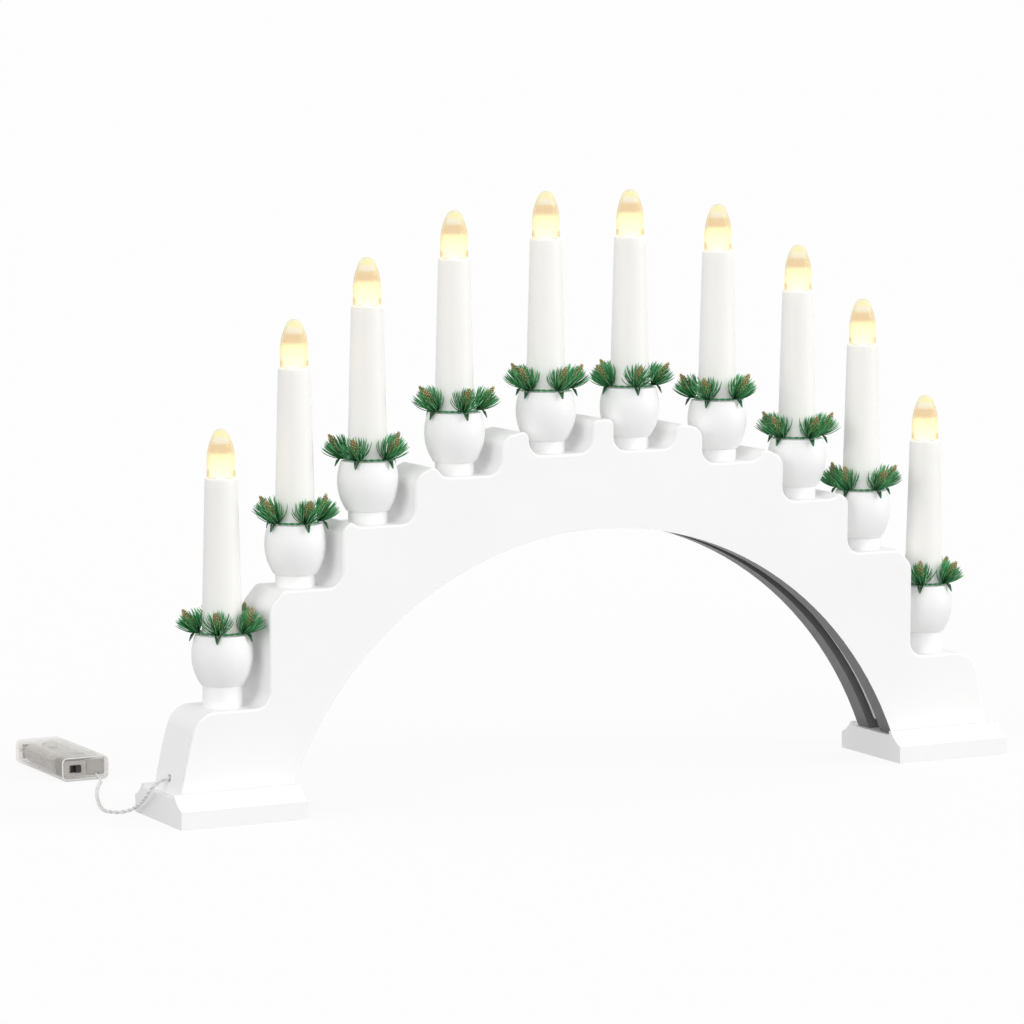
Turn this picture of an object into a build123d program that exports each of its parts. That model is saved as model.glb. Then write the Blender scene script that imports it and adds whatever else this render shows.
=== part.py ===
from build123d import *
import math
import os

# A white candle arch with battery lights, in millimetres. X runs along the arch, minus Y is its front,
# Z is up, and the origin lies on the table under the middle of the arch.

# Arch board
outer_radius = 256.5
outer_drop = 59.0
end_inset = 8.3
end_lift = 34.0
band = 60.7
inner_shift = -2.5
board_thickness = 35.4
crest_round = 4.0
crest_share = 0.3
wall_round = 8.0
wall_share = 0.8
shoulder_round = 13.0
edge_round = 1.2
wire_groove_width = 12.0
wire_groove_depth = 7.0

# Plinths under the board's feet
seat_height = 14.2
lip_gap = 1.1
lip_width = 2.2
lip_height = 2.3
cove_width = 9.5
cove_sag = 0.9
plinth_side = 9.2
inner_overhang = 2.8
outer_overhang = 4.95

# Screws up through the plinths
screw_radius = 1.9
screw_head_radius = 3.9
screw_head_depth = 2.4
screw_recess = 0.4
screw_length = 34.0
screw_spread = 32.0
screw_offset = 10.0
screw_play = 0.1

# Candle places, from the middle of the arch outwards: degrees from upright and distance from the
# centre of the outer edge's circle
cup_angles = (5.56, 17.55, 29.66, 40.98, 56.17)
cup_radius_shares = (1.0224, 1.0301, 1.0265, 1.0225, 1.0020)

# Turned cup, measured from the middle of its ball
cup_radius = 16.0
cup_side_radius = 28.0
cup_top = 10.5
cup_foot = 15.5
neck_radius = 10.4
neck_height = 6.5
end_neck_height = 11.5
tenon_radius = 5.0
tenon_length = 8.0
wire_bore_radius = 2.4
socket_depth = 4.0
notch_gap = 3.0
notch_corner = 8.0
notch_rise = 62.0
fit = 0.1

# Candle sleeve and flame
tube_foot_radius = 10.65
tube_top_radius = 8.45
tube_length = 84.9
tube_wall = 1.2
tube_rim_round = 0.5
deck_thickness = 2.0
bulb_radius = 7.4
bulb_side = 8.0
bulb_dome = 17.0
bulb_tip_radius = 4.5
bulb_wall = 1.0
bulb_skirt = 5.0
led_radius = 2.5
led_flange_radius = 2.9
led_flange = 1.0
led_side = 6.0

# Wreath: sprigs of needles with a cone in each, their wire tails bent into a ring
wreath_wire_radius = 0.75
wreath_gap = 0.7
wreath_lift = 0.3
sprig_count = 5
sprig_lean = 47.0
sprig_spread = 40.0
pressed_lean = 76.0
pressed_spread = 22.0
pressed_share = 0.5
walled_share = 0.6
stem_radius = 0.6
stem_length = 4.6
needle_count = 8
needle_root = 1.6
needle_tier = 1.2
needle_length = 10.0
needle_thickness = 0.4
needle_root_width = 0.24
needle_width = 1.3
needle_tip_width = 0.4
needle_broad_share = 0.4
cone_radius = 1.5
cone_foot_radius = 0.7
cone_tip_radius = 0.3
cone_length = 7.4
cone_waist_share = 0.3
cone_shoulder_shares = (0.8, 0.7)
wreath_turns = (21.6, 53.6, 6.6, 50.6, 57.6, 40.6, 3.6, 54.6, 61.6, 14.6)

# Wiring inside the arch
harness_radius = 1.5
riser_radius = 1.0
lead_hole_radius = 2.1
lead_hole_height = 21.8
lead_hole_depth = 3.25

# Lead from the arch to the battery case, lying on the table
lead_radius = 1.0
lead_route = (
    (-240.6, 0.0, 21.8),
    (-247.6, -0.6, 21.7),
    (-252.6, -0.8, 18.7),
    (-254.6, 2.4, 14.2),
    (-254.6, 8.6, 10.0),
    (-254.6, 15.4, 6.0),
    (-256.2, 22.0, 2.6),
    (-260.4, 26.4, 1.05),
    (-264.2, 30.6, 1.05),
    (-265.4, 37.2, 1.05),
    (-263.0, 46.8, 1.05),
    (-258.5, 61.1, 1.05),
    (-252.7, 77.1, 1.05),
    (-246.6, 91.9, 1.05),
    (-240.1, 105.4, 1.05),
    (-234.5, 116.0, 1.05),
    (-232.3, 122.9, 1.5),
    (-231.9, 129.6, 2.8),
)
run_share = 0.45

# Battery case behind the left foot, with the switch in the end that faces the arch
case_middle = -238.6
case_front = 128.0
case_width = 27.0
case_length = 69.0
case_height = 13.0
case_corner = 3.0
case_wall = 1.2
case_split = 8.4
bay_length = 16.0
cover_play = 0.15
cover_lip = 0.9
cover_lip_drop = 1.5
grip_radius = 2.4
grip_height = 1.2
grip_across = -4.4
grip_along = 36.0
lead_entry_radius = 1.5

# Cells and contacts
cell_radius = 5.1
cell_length = 43.3
cell_pitch = 11.6
nub_radius = 1.9
nub_length = 1.2
cell_play = 0.05
plate_thickness = 0.4
plate_width = 8.6
plate_height = 8.0
spring_wire_radius = 0.3
spring_radius = 2.6
spring_turns = 4

# Slide switch
switch_across = -5.6
switch_width = 13.0
switch_depth = 11.0
switch_height = 8.4
switch_gap = 0.4
slot_width = 6.4
slot_height = 4.2
slot_middle = 6.6
knob_width = 3.0
knob_proud = 0.6
knob_play = 0.3
knob_seat = 1.2

overrun = 1.0


def turned(*edges):
    """The solid that a closed outline, given as radius and height, sweeps round the Z axis."""
    return revolve(Plane.XZ * make_face(edges), axis=Axis.Z)


def upright(radius, low, high, x=0.0, y=0.0):
    """A cylinder on a vertical axis between two heights."""
    align = (Align.CENTER, Align.CENTER, Align.MIN)
    return Pos(x, y, low) * Cylinder(radius, high - low, align=align)


def block(low, high):
    """A box between two corners."""
    size = [b - a for a, b in zip(low, high)]
    return Pos(*low) * Box(*size, align=(Align.MIN, Align.MIN, Align.MIN))


def save(name, *solids):
    shape = solids[0]
    if len(solids) > 1:
        shape = Compound(children=[Compound(s.solids()) for s in solids])
    export_step(shape, f"parts/{name}.step")


# Places worked out from the sizes above
end_radius = outer_radius - end_inset
end_drop = outer_drop - end_lift
inner_radius = outer_radius - band
inner_drop = outer_drop + inner_shift
groove_radius = inner_radius + wire_groove_depth / 2


def outer_half(height):
    return math.sqrt(end_radius**2 - (height + end_drop) ** 2)


def inner_half(height):
    return math.sqrt(inner_radius**2 - (height + inner_drop) ** 2)


def groove_height(x):
    return math.sqrt(groove_radius**2 - x**2) - inner_drop


def candle_places():
    """Ball centres from left to right, each with the height of its neck."""
    half = []
    for angle, share in zip(cup_angles, cup_radius_shares):
        reach = outer_radius * share
        x = reach * math.sin(math.radians(angle))
        z = reach * math.cos(math.radians(angle)) - outer_drop
        half.append((x, z, neck_height))
    x, z, _ = half[-1]
    half[-1] = (x, z, end_neck_height)
    return [(-x, z, n) for x, z, n in reversed(half)] + half


candles = candle_places()
end_floor = candles[0][1] - cup_foot - end_neck_height
plinth_inner = inner_half(seat_height) - inner_overhang
plinth_outer = outer_half(seat_height) + outer_overhang
plinth_middle = (plinth_inner + plinth_outer) / 2
socket_floor = cup_top - socket_depth
tube_top = socket_floor + tube_length
deck_top = tube_top - bulb_skirt
ring_radius = tube_foot_radius + wreath_gap + wreath_wire_radius
bay_front = case_front + bay_length + case_wall
bay_back = case_front + case_length - case_wall
screw_places = [
    (plinth_middle - screw_spread / 2, screw_offset),
    (plinth_middle + screw_spread / 2, -screw_offset),
]


def arch_board():
    above = Pos(0, end_floor + outer_radius) * Rectangle(4 * outer_radius, 2 * outer_radius)
    sheet = Pos(0, -outer_drop) * Circle(outer_radius) & above
    sheet += Pos(0, -end_drop) * Circle(end_radius) - above
    sheet -= Pos(0, -inner_drop) * Circle(inner_radius)
    sheet -= Pos(0, seat_height - outer_radius) * Rectangle(4 * outer_radius, 2 * outer_radius)
    half_notch = cup_radius + notch_gap
    for x, z, neck in candles:
        floor = z - cup_foot - neck
        notch = RectangleRounded(2 * half_notch, notch_rise, notch_corner)
        sheet -= Pos(x, floor + notch_rise / 2) * notch
    for side in (-1, 1):
        beside = Rectangle(2 * half_notch, notch_rise)
        sheet -= Pos(side * (candles[-1][0] + half_notch), end_floor + notch_rise / 2) * beside
    board = extrude(Plane.XZ * sheet, amount=board_thickness / 2, both=True)
    board = round_crests(board)
    rims = []
    for edge in board.edges():
        flat = edge.bounding_box().size.Y < fit
        inner = edge.geom_type == GeomType.CIRCLE and abs(edge.radius - inner_radius) < fit
        if flat and not inner and edge.center().Z > seat_height + edge_round:
            rims.append(edge)
    board = fillet(rims, edge_round)
    trench = Circle(inner_radius + wire_groove_depth) - Circle(inner_radius - wire_groove_depth)
    trench = extrude(Plane.XZ * trench, amount=wire_groove_width / 2, both=True)
    board -= Pos(0, 0, -inner_drop) * trench
    for x, z, neck in candles:
        floor = z - cup_foot - neck
        board -= upright(tenon_radius + fit, floor - tenon_length - fit, floor + overrun, x)
        foot = lead_hole_height if neck == end_neck_height else groove_height(x)
        board -= upright(wire_bore_radius, foot, floor, x)
    cross = Plane.YZ * Circle(lead_hole_radius)
    left = Pos(-outer_radius, 0, lead_hole_height) * extrude(cross, amount=outer_radius - groove_cross())
    blind = candles[-1][0] + wire_bore_radius - groove_cross()
    right = Pos(groove_cross(), 0, lead_hole_height) * extrude(cross, amount=blind)
    board -= [left, right]
    for side in (-1, 1):
        for x, y in screw_places:
            top = screw_recess + screw_length + screw_play
            board -= upright(screw_radius + screw_play, seat_height - overrun, top, side * x, y)
    return board


def round_crests(board):
    """Rounds the shoulders at both ends and the two corners of each crest between the notches."""
    shoulders = []
    corners = []
    for edge in board.edges().filter_by(Axis.Y):
        place = edge.center()
        reach = math.hypot(place.X, place.Z + outer_drop)
        if abs(place.Z - end_floor) < fit and abs(place.X) > candles[-1][0] + cup_radius:
            shoulders.append(edge)
        elif abs(reach - outer_radius) < fit and place.Z > end_floor + fit:
            corners.append(place)
    board = fillet(shoulders, shoulder_round)
    corners.sort(key=lambda place: place.X)
    for left, right in zip(corners[::2], corners[1::2]):
        room = (left - right).length
        low, high = sorted((left, right), key=lambda place: place.Z)
        small = min(crest_round, crest_share * room)
        large = small if high.Z - low.Z < fit else min(wall_round, wall_share * room)
        for place, radius in ((low, large), (high, small)):
            edge = board.edges().filter_by(Axis.Y).sort_by_distance(place)[0]
            board = fillet(edge, radius)
    return board


def groove_cross():
    """How far from the middle the wiring groove lies at the height of the lead's hole."""
    return math.sqrt(groove_radius**2 - (lead_hole_height + inner_drop) ** 2)


def plinth(side):
    lip_inner = board_thickness / 2 + lip_gap
    lip_outer = lip_inner + lip_width
    edge = lip_outer + cove_width
    top = seat_height + lip_height
    run = (lip_outer - edge, top - plinth_side)
    length = math.hypot(*run)
    middle = ((edge + lip_outer) / 2, (plinth_side + top) / 2)
    hollow = (middle[0] - cove_sag * run[1] / length, middle[1] + cove_sag * run[0] / length)
    groove = [(-lip_inner, top), (-lip_inner, seat_height), (lip_inner, seat_height), (lip_inner, top)]
    outline = [Polyline(*groove)]
    for half in (-1, 1):
        outline.append(Line((half * lip_inner, top), (half * lip_outer, top)))
        cove = [(half * lip_outer, top), (half * hollow[0], hollow[1]), (half * edge, plinth_side)]
        outline.append(ThreePointArc(*cove))
        outline.append(Line((half * edge, plinth_side), (half * edge, 0)))
    outline.append(Line((-edge, 0), (edge, 0)))
    foot = extrude(Plane.YZ * make_face(outline), amount=plinth_outer - plinth_inner)
    foot = Pos(plinth_inner if side > 0 else -plinth_outer, 0, 0) * foot
    for x, y in screw_places:
        foot -= Pos(side * x, y, 0) * screw(screw_play, overrun)
    return foot


def screw(play, below):
    """A countersunk screw standing head down, or with play and some height below, the hole for it."""
    low = screw_recess - below
    neck = screw_recess + screw_head_depth
    slope = (screw_head_radius - screw_radius) / screw_head_depth
    head = screw_head_radius + play + slope * below
    top = screw_recess + screw_length
    shank = screw_radius + play
    return turned(Polyline((0, low), (head, low), (shank, neck), (shank, top), (0, top), close=True))


def candle_cup(neck):
    def bulge(height):
        return cup_radius - cup_side_radius + math.sqrt(cup_side_radius**2 - height**2)

    foot = -cup_foot - neck
    socket = tube_foot_radius + fit
    side = ThreePointArc((bulge(cup_foot), -cup_foot), (cup_radius, 0), (bulge(cup_top), cup_top))
    rest = Polyline(
        (bulge(cup_top), cup_top),
        (socket, cup_top),
        (socket, socket_floor),
        (wire_bore_radius, socket_floor),
        (wire_bore_radius, foot - tenon_length),
        (tenon_radius, foot - tenon_length),
        (tenon_radius, foot),
        (neck_radius, foot),
        (neck_radius, -cup_foot),
        (bulge(cup_foot), -cup_foot),
    )
    return turned(side, rest)


def candle_tube():
    def outside(height):
        return tube_foot_radius + (tube_top_radius - tube_foot_radius) * height / tube_length

    deck = tube_length - bulb_skirt
    under = deck - deck_thickness
    recess = bulb_radius + fit
    hole = riser_radius + fit
    outline = Polyline(
        (outside(0) - tube_wall, 0),
        (outside(0), 0),
        (outside(tube_length), tube_length),
        (recess, tube_length),
        (recess, deck),
        (hole, deck),
        (hole, under),
        (outside(under) - tube_wall, under),
        close=True,
    )
    tube = turned(outline)
    rim = tube.edges().filter_by(GeomType.CIRCLE).filter_by_position(Axis.Z, tube_length, tube_length)
    return fillet(rim.sort_by(SortBy.RADIUS)[-1], tube_rim_round)


def flame_bulb():
    """A blunt bullet whose flank is an arc, level with the side below it and running into a round tip."""
    rise = bulb_dome - bulb_tip_radius
    room = bulb_radius - bulb_tip_radius
    flank_middle = -(rise**2 - room**2) / (2 * room)
    slope = math.atan2(rise, -flank_middle)

    def bullet(inset, low):
        tip = bulb_tip_radius - inset
        side = bulb_radius - inset
        reach = side - flank_middle

        def flank(angle):
            return flank_middle + reach * math.cos(angle), bulb_side + reach * math.sin(angle)

        def crown(angle):
            return tip * math.cos(angle), bulb_side + rise + tip * math.sin(angle)

        bend = ThreePointArc(flank(0), flank(slope / 2), flank(slope))
        nose = ThreePointArc(flank(slope), crown((slope + math.pi / 2) / 2), crown(math.pi / 2))
        rest = Polyline(crown(math.pi / 2), (0, low), (side, low), flank(0))
        return turned(bend, nose, rest)

    return bullet(0, -bulb_skirt) - bullet(bulb_wall, -bulb_skirt - overrun)


def led():
    tip = led_side + led_radius
    dome = CenterArc((0, led_side), led_radius, 0, 90)
    body = Polyline(
        (0, tip),
        (0, 0),
        (led_flange_radius, 0),
        (led_flange_radius, led_flange),
        (led_radius, led_flange),
        (led_radius, led_side),
    )
    return turned(dome, body)


def sprig(lean, spread):
    """A stem with a fan of tapered needles on its stretch of the ring, growing out along X and up, and
    the cone at the stem's end."""
    heading = (math.cos(math.radians(lean)), 0, math.sin(math.radians(lean)))
    axis = Plane(origin=(ring_radius, 0, 0), z_dir=heading)
    span = 360 / sprig_count - math.degrees(fit / ring_radius)
    cross = Plane.XZ * (Pos(ring_radius, 0) * Circle(wreath_wire_radius))
    tail = Rot(0, 0, -span / 2) * revolve(cross, axis=Axis.Z, revolution_arc=span)
    stem = upright(stem_radius, 0, stem_length)
    broad = needle_length * needle_broad_share
    right = [(needle_root_width / 2, 0), (needle_width / 2, broad), (needle_tip_width / 2, needle_length)]
    left = [(-x, y) for x, y in reversed(right)]
    blade = make_face(Polyline(*right, *left, close=True))
    blade = extrude(Plane.YZ * blade, amount=needle_thickness / 2, both=True)
    blade = Pos(stem_radius / 2, 0, needle_root) * (Rot(0, spread, 0) * blade)
    needles = []
    for step in range(needle_count):
        turn = Rot(0, 0, 360 * (step + 0.5) / needle_count)
        needles.append(Pos(0, 0, needle_tier * (step % 2)) * (turn * blade))
    start = stem_length + fit
    tip = start + cone_length
    outline = Polyline(
        (0, tip),
        (0, start),
        (cone_foot_radius, start),
        (cone_radius, start + cone_length * cone_waist_share),
        (cone_radius * cone_shoulder_shares[0], start + cone_length * cone_shoulder_shares[1]),
        (cone_tip_radius, tip),
        close=True,
    )
    return tail + axis * (stem + needles), axis * turned(outline)


def wreath(turn, wall):
    """A ring with its sprigs and cones, about the middle of the candle. Wall is the side, along X, on
    which the board rises beside the wreath, or 0 for none. Sprigs on that side stand upright."""
    height = cup_top + wreath_lift + wreath_wire_radius
    pieces = []
    for number in range(sprig_count):
        angle = turn + 360 * number / sprig_count
        pressed = wall * math.cos(math.radians(angle)) > pressed_share
        for piece in pressed_sprig if pressed else free_sprig:
            pieces.append(Pos(0, 0, height) * (Rot(0, 0, angle) * piece))
    return pieces


def wiring_harness():
    cross = groove_cross()
    reach = outer_half(lead_hole_height) - lead_hole_depth
    middle = groove_height(0)
    arc = ThreePointArc((-cross, 0, lead_hole_height), (0, 0, middle), (cross, 0, lead_hole_height))
    start = Plane(origin=arc @ 0, z_dir=arc % 0)
    wire = sweep(start * Circle(harness_radius), path=arc)
    run = Plane.YZ * Circle(harness_radius)
    joins = [Pos(side * cross, 0, lead_hole_height) * Sphere(harness_radius) for side in (-1, 1)]
    wire += joins + [Pos(-reach, 0, lead_hole_height) * extrude(run, amount=reach - cross)]
    wire += Pos(cross, 0, lead_hole_height) * extrude(run, amount=candles[-1][0] + riser_radius - cross)
    risers = []
    for x, z, neck in candles:
        foot = lead_hole_height if neck == end_neck_height else groove_height(x)
        risers.append(upright(riser_radius, foot, z + deck_top, x))
    return wire + risers


def lead():
    points = [Vector(*p) for p in lead_route]
    radii = []
    for before, here, after in zip(points, points[1:], points[2:]):
        turn = math.radians((here - before).get_angle(after - here))
        run = min((here - before).length, (after - here).length)
        radii.append(run_share * run / math.tan(turn / 2))
    print("lead radii", [round(r, 1) for r in radii])
    path = FilletPolyline(*points, radius=radii)
    start = Plane(origin=path @ 0, z_dir=path % 0)
    tube = sweep(start * Circle(lead_radius), path=path)
    expected = math.pi * lead_radius**2 * path.length
    print("lead length", round(path.length, 1), "volume share", round(tube.volume / expected, 4))
    return tube


def case_bar(inset, low, high):
    """The case's rounded section, drawn in by inset, between two distances from its switch end."""
    across = case_width - 2 * inset
    up = case_height - 2 * inset
    face = Plane.XZ * RectangleRounded(across, up, case_corner - inset)
    bar = extrude(face, amount=low - high)
    return Pos(case_middle, case_front + low, case_height / 2) * bar


def case_shell():
    front = case_bar(case_wall, case_wall, bay_length)
    back = case_bar(case_wall, bay_length + case_wall, case_length - case_wall)
    return case_bar(0, 0, case_length) - front - back


def cover_space(play):
    """The room above the split line and behind the switch bay that the cover takes up."""
    low = (case_middle - case_width, case_front + bay_length + case_wall + play, case_split + play)
    high = (case_middle + case_width, case_front + 2 * case_length, 2 * case_height)
    return block(low, high)


def lip_edges(side, outward, inward):
    """The two sides of one of the cover's lips, each moved outward or inward of the case by so much."""
    outer = case_width / 2 - case_wall - cover_play + outward
    inner = case_width / 2 - case_wall - cover_play - cover_lip - inward
    return sorted((case_middle + side * outer, case_middle + side * inner))


def battery_case():
    case = case_shell() - cover_space(0)
    left = case_middle + switch_across - slot_width / 2
    low = (left, case_front - overrun, slot_middle - slot_height / 2)
    high = (left + slot_width, case_front + case_wall + overrun, slot_middle + slot_height / 2)
    case -= block(low, high)
    entry = Plane.XZ * Circle(lead_entry_radius)
    x, y, z = lead_route[-1]
    case -= Pos(x, case_front - overrun, z) * extrude(entry, amount=-(case_wall + 2 * overrun))
    for side in (-1, 1):
        edges = lip_edges(side, cover_play, cover_play)
        low = (edges[0], bay_back - overrun, case_split - cover_lip_drop - cover_play)
        case -= block(low, (edges[1], bay_back + case_wall + overrun, case_split + overrun))
    return case


def battery_cover():
    cover = case_shell() & cover_space(cover_play)
    front = bay_front + cover_play
    back = bay_back - plate_thickness - cover_play
    top = case_split + cover_lip_drop
    for side in (-1, 1):
        edges = lip_edges(side, 0, 0)
        lip = block((edges[0], front, case_split - cover_lip_drop), (edges[1], back, top))
        edges = lip_edges(side, cover_play, 0)
        cover += [lip, block((edges[0], front, case_split + cover_play), (edges[1], back, top))]
    grip = Pos(case_middle + grip_across, case_front + grip_along, case_height) * Sphere(grip_radius)
    room = case_bar(-grip_height, bay_length, case_length) - case_bar(case_wall, bay_length, case_length)
    return cover + (grip & room)


def cell_places():
    """Each cell's middle line, and whether its nub points at the switch end."""
    height = case_wall + cell_play + cell_radius
    left = (case_middle - cell_pitch / 2, height, True)
    right = (case_middle + cell_pitch / 2, height, False)
    return [left, right]


def battery_cells():
    cells = []
    for x, z, forward in cell_places():
        nub = upright(nub_radius, cell_length, cell_length + nub_length)
        cell = upright(cell_radius, 0, cell_length) + nub
        if forward:
            base = bay_front + plate_thickness + cell_play + nub_length + cell_length
            cells.append(Pos(x, base, z) * (Rot(90, 0, 0) * cell))
        else:
            base = bay_back - plate_thickness - cell_play - nub_length - cell_length
            cells.append(Pos(x, base, z) * (Rot(-90, 0, 0) * cell))
    return cells


def battery_plates():
    plates = []
    for x, z, _ in cell_places():
        for low in (bay_front, bay_back - plate_thickness):
            corner = (x - plate_width / 2, low, z - plate_height / 2)
            opposite = (x + plate_width / 2, low + plate_thickness, z + plate_height / 2)
            plates.append(block(corner, opposite))
    return plates


def coil(radius, wire, turns, length):
    """A coil standing on Z from 0 to length, swept along pairs of arcs for each quarter turn."""
    rise = (length - 2 * wire) / turns
    slope = rise / (2 * math.pi * radius)

    def point(quarter):
        angle = math.pi / 2 * quarter
        return Vector(radius * math.cos(angle), radius * math.sin(angle), wire + rise * quarter / 4)

    def heading(quarter):
        angle = math.pi / 2 * quarter
        return Vector(-math.sin(angle), math.cos(angle), slope).normalized()

    edges = []
    for quarter in range(4 * turns):
        a, b = point(quarter), point(quarter + 1)
        t, u = heading(quarter), heading(quarter + 1)
        chord = b - a
        both = t + u
        spread = 2 * (1 - t.dot(u))
        lever = (math.sqrt(chord.dot(both) ** 2 + spread * chord.dot(chord)) - chord.dot(both)) / spread
        joint = (a + t * lever + b - u * lever) * (1 / 2)
        first = TangentArc(a, joint, tangent=t)
        edges += [first, TangentArc(joint, b, tangent=first % 1)]
    path = Wire(edges)
    start = Plane(origin=path @ 0, z_dir=path % 0)
    count = 48 * turns
    places = [path @ (step / count) for step in range(count + 1)]
    turn = count // turns
    near = min((p - q).length for i, p in enumerate(places) for q in places[i + turn // 2 :])
    print("coil gap", round(near - 2 * wire, 2))
    return sweep(start * Circle(wire), path=path)


def battery_springs():
    room = bay_back - bay_front - 2 * plate_thickness - cell_length - nub_length - 2 * cell_play
    spring = coil(spring_radius, spring_wire_radius, spring_turns, room)
    springs = []
    for x, z, forward in cell_places():
        if forward:
            springs.append(Pos(x, bay_back - plate_thickness, z) * (Rot(90, 0, 0) * spring))
        else:
            springs.append(Pos(x, bay_front + plate_thickness, z) * (Rot(-90, 0, 0) * spring))
    return springs


def switch_body():
    front = case_front + case_wall + switch_gap
    middle = case_middle + switch_across
    low = (middle - switch_width / 2, front, slot_middle - switch_height / 2)
    high = (middle + switch_width / 2, front + switch_depth, slot_middle + switch_height / 2)
    track_low = (middle - slot_width / 2, front - overrun, slot_middle - slot_height / 2)
    track_high = (middle + slot_width / 2, front + knob_seat + knob_play, slot_middle + slot_height / 2)
    return block(low, high) - block(track_low, track_high)


def switch_knob():
    left = case_middle + switch_across + slot_width / 2 - knob_play - knob_width
    front = case_front - knob_proud
    low = (left, front, slot_middle - slot_height / 2 + knob_play)
    back = case_front + case_wall + switch_gap + knob_seat
    high = (left + knob_width, back, slot_middle + slot_height / 2 - knob_play)
    return block(low, high)


os.makedirs("parts", exist_ok=True)

save("arch_board", arch_board())
for name, side in (("plinth_left", -1), ("plinth_right", 1)):
    save(name, plinth(side))
screws = [Pos(side * x, y, 0) * screw(0, 0) for side in (-1, 1) for x, y in screw_places]
save("plinth_screws", *screws)

tube = candle_tube()
bulb = flame_bulb()
free_sprig = sprig(sprig_lean, sprig_spread)
pressed_sprig = sprig(pressed_lean, pressed_spread)
for number, (x, z, neck) in enumerate(candles, start=1):
    here = Pos(x, 0, z)
    save(f"candle_cup_{number}", here * candle_cup(neck))
    save(f"candle_tube_{number}", here * Pos(0, 0, socket_floor) * tube)
    save(f"flame_bulb_{number}", here * Pos(0, 0, tube_top) * bulb)
    turn = wreath_turns[number - 1]
    wall = -math.copysign(1, x) if abs(x) > walled_share * outer_radius else 0
    save(f"wreath_{number}", *[here * piece for piece in wreath(turn, wall)])
save("leds", *[Pos(x, 0, z + deck_top) * led() for x, z, neck in candles])
save("wiring_harness", wiring_harness())
save("lead", lead())
save("battery_case", battery_case())
save("battery_cover", battery_cover())
save("battery_cells", *battery_cells())
save("battery_plates", *battery_plates())
save("battery_springs", *battery_springs())
save("switch_body", switch_body())
save("switch_knob", switch_knob())
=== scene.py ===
"""The looks of a white candle arch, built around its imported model. Lengths are in metres."""

import math
import random

import bmesh
import bpy
from mathutils import Matrix, Vector


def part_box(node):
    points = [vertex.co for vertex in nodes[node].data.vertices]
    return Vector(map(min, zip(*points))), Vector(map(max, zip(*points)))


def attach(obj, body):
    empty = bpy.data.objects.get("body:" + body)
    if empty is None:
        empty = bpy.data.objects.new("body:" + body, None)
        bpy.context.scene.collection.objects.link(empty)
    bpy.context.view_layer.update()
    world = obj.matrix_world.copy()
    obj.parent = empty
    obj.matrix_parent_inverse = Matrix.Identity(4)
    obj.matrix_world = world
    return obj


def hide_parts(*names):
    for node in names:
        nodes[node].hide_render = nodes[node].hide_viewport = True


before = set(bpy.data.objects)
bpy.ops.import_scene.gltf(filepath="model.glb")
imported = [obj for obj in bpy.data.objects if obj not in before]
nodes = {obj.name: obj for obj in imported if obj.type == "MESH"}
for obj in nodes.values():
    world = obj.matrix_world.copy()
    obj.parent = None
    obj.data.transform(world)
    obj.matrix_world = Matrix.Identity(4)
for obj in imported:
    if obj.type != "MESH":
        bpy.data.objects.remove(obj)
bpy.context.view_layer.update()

MM = 0.001
CANDLES = 10

# Camera, solved from the arch in the photograph
CAMERA_PLACE = Vector((-1.1049, -2.0401, 0.4142))
CAMERA_TARGET = Vector((-0.04561, 0.0, 0.1487))
CAMERA_LENS_MM = 153.37
SENSOR_MM = 36.0

# Light: strengths are what a white surface facing the light would show
SKY_LEVEL = 0.8
BACKDROP_LEVEL = 0.988
SUNS = {
    "key": {"heading": (-0.85, -0.45, 0.28), "level": 0.24, "spread": 30.0},
    "side": {"heading": (0.8, -0.53, 0.28), "level": 0.46, "spread": 30.0},
    "front": {"heading": (-0.35, -0.9, 0.27), "level": 0.15, "spread": 30.0},
}
FLOOR_HALF = 20.0
FLOOR_DROP = 0.1 * MM
FLOOR_GREY = 0.35
FLOOR_SHADE = 0.12

# Arch board: its sides, its outer and inner circles and its notches
BOARD_HALF = 17.7 * MM
BOARD_RADIUS = 256.5 * MM
BOARD_DROP = 59.0 * MM
NOTCH_HALF = 19.0 * MM
ARCH_RADIUS = 195.8 * MM
ARCH_DROP = 56.5 * MM
GROOVE_DEPTH = 7.0 * MM
# Where the painted shade on the arch's underside reaches
UNDERSIDE_REACH = ARCH_RADIUS + 1.1 * GROOVE_DEPTH
UNDERSIDE_HALF = 0.985 * BOARD_HALF

# Wreath: its ring of twisted wires
RING_GAP = 1.45 * MM
RING_LIFT = 1.05 * MM
RING_WIRE = 0.32 * MM
RING_TWISTS = 11
RING_STEPS = 180
RING_SIDES = 6
WREATH_SEED = 100
WREATH_TURNS = (21.6, 53.6, 6.6, 50.6, 57.6, 40.6, 3.6, 54.6, 61.6, 14.6)

# Wreath: its sprigs of needles. Plays are how far a drawn value goes either way: angles
# are in degrees, and the needle's turn is in radians.
SPRIGS = 5
SPRIG_LEAN = 52.0
SPRIG_LEAN_PLAY = 5.0
STEM_LENGTH = 3.2 * MM
STEM_RADIUS = 0.7 * MM
STEM_SIDES = 6
STEM_LIGHT = 0.1
NEEDLES = 70
NEEDLE_LENGTH = 13.2 * MM
NEEDLE_HALF = 0.27 * MM
NEEDLE_SIDES = 3
NEEDLE_STEPS = 6
NEEDLE_TIP_SHARE = 0.3
NEEDLE_ROOT_SHARE = 0.6
# Painted shade: how light a needle's root is against its tip
NEEDLE_ROOT_LIGHT = 0.2
NEEDLE_TURN_PLAY = 0.15
NEEDLE_LENGTHS = (0.92, 1.05)
NEEDLE_LIGHTS = (0.3, 1.0)
NEEDLE_CLEARANCE = 0.5 * MM
NEEDLE_TRIES = 14
TRY_OPENING = 0.8
TRY_LENGTH = 0.97
OPEN_LEAST = 6.0
OPEN_MOST = 76.0
OPEN_PLAY = 4.0
OPEN_POWER = 0.6
OPEN_CLOSING = 0.25
DROOP_SHARE = 0.5
TAIL_STRIPS = 9
TAIL_RADIUS = 1.5 * MM
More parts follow.
